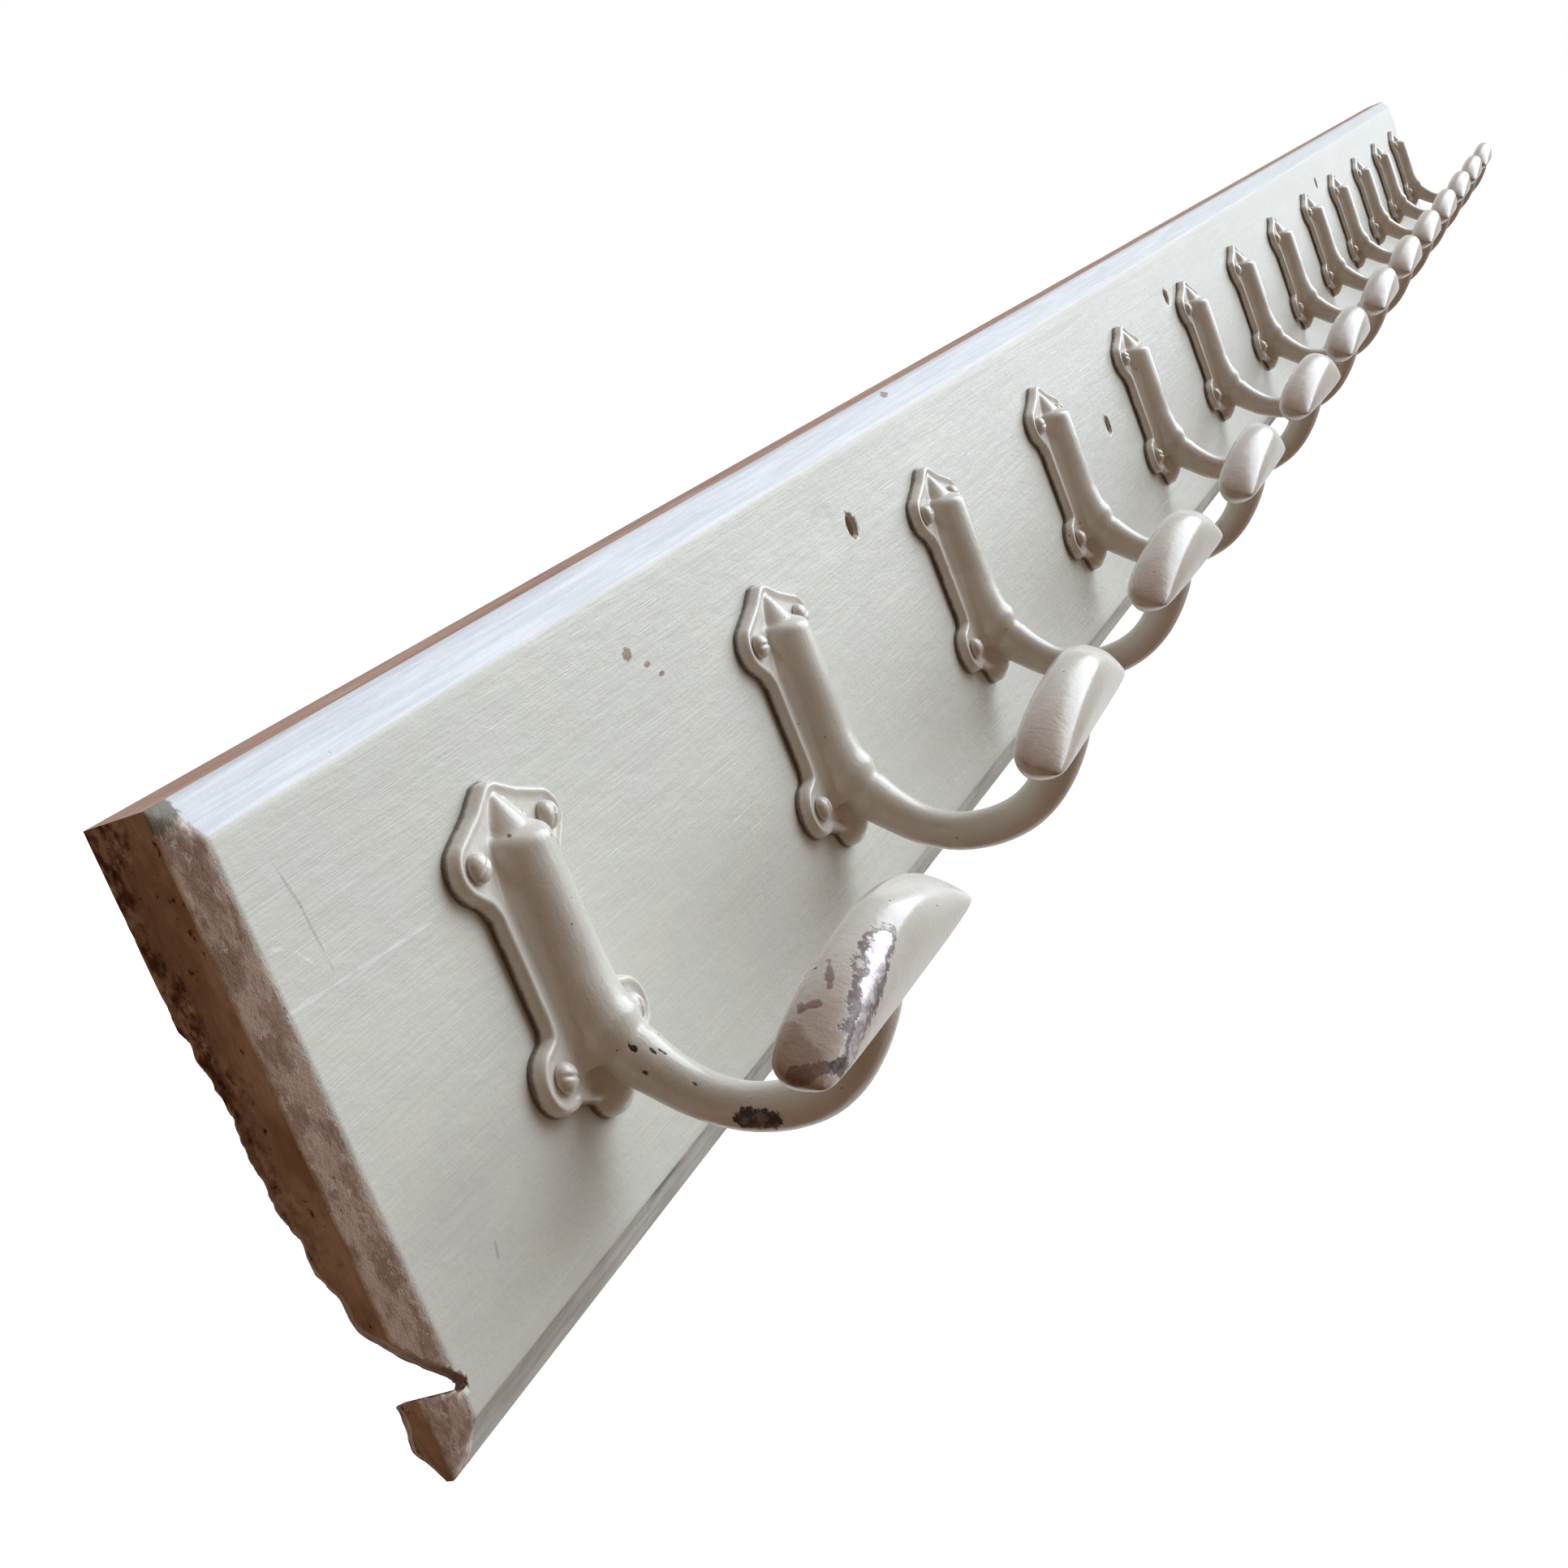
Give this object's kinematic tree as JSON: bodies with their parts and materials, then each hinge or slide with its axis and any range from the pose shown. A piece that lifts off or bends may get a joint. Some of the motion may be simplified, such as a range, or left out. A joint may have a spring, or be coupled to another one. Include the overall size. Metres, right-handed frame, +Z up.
{
  "type": "wall hook rack",
  "caption": "Long painted plank coat rack with chamfered edges and a row of cast-iron hooks, each ending in a wide half-moon tip and held by round-head wood screws.",
  "frame": {"origin": "middle of the board's back face, where it meets the wall", "axes": "+X along the board toward the picture's far end, -Y out of the wall into the room, +Z up"},
  "size_m": [2.476, 0.129, 0.166],
  "materials": {
    "board_paint": "softwood plank under worn gloss paint",
    "hook_paint": "cast iron under chipped gloss paint",
    "screw_paint": "steel round-head screws under gloss paint"
  },
  "bodies": {
    "root": {"board": "board_paint", "hook_01": "hook_paint", "hook_02": "hook_paint", "hook_03": "hook_paint", "hook_04": "hook_paint", "hook_05": "hook_paint", "hook_06": "hook_paint", "hook_07": "hook_paint", "hook_08": "hook_paint", "hook_09": "hook_paint", "hook_10": "hook_paint", "hook_11": "hook_paint", "hook_12": "hook_paint", "hook_13": "hook_paint", "screw_01_upper_left": "screw_paint", "screw_01_upper_right": "screw_paint", "screw_01_lower_left": "screw_paint", "screw_01_lower_right": "screw_paint", "screw_02_upper_left": "screw_paint", "screw_02_upper_right": "screw_paint", "screw_02_lower_left": "screw_paint", "screw_02_lower_right": "screw_paint", "screw_03_upper_left": "screw_paint", "screw_03_upper_right": "screw_paint", "screw_03_lower_left": "screw_paint", "screw_03_lower_right": "screw_paint", "screw_04_upper_left": "screw_paint", "screw_04_upper_right": "screw_paint", "screw_04_lower_left": "screw_paint", "screw_04_lower_right": "screw_paint", "screw_05_upper_left": "screw_paint", "screw_05_upper_right": "screw_paint", "screw_05_lower_left": "screw_paint", "screw_05_lower_right": "screw_paint", "screw_06_upper_left": "screw_paint", "screw_06_upper_right": "screw_paint", "screw_06_lower_left": "screw_paint", "screw_06_lower_right": "screw_paint", "screw_07_upper_left": "screw_paint", "screw_07_upper_right": "screw_paint", "screw_07_lower_left": "screw_paint", "screw_07_lower_right": "screw_paint", "screw_08_upper_left": "screw_paint", "screw_08_upper_right": "screw_paint", "screw_08_lower_left": "screw_paint", "screw_08_lower_right": "screw_paint", "screw_09_upper_left": "screw_paint", "screw_09_upper_right": "screw_paint", "screw_09_lower_left": "screw_paint", "screw_09_lower_right": "screw_paint", "screw_10_upper_left": "screw_paint", "screw_10_upper_right": "screw_paint", "screw_10_lower_left": "screw_paint", "screw_10_lower_right": "screw_paint", "screw_11_upper_left": "screw_paint", "screw_11_upper_right": "screw_paint", "screw_11_lower_left": "screw_paint", "screw_11_lower_right": "screw_paint"}
  },
  "joints": []
}
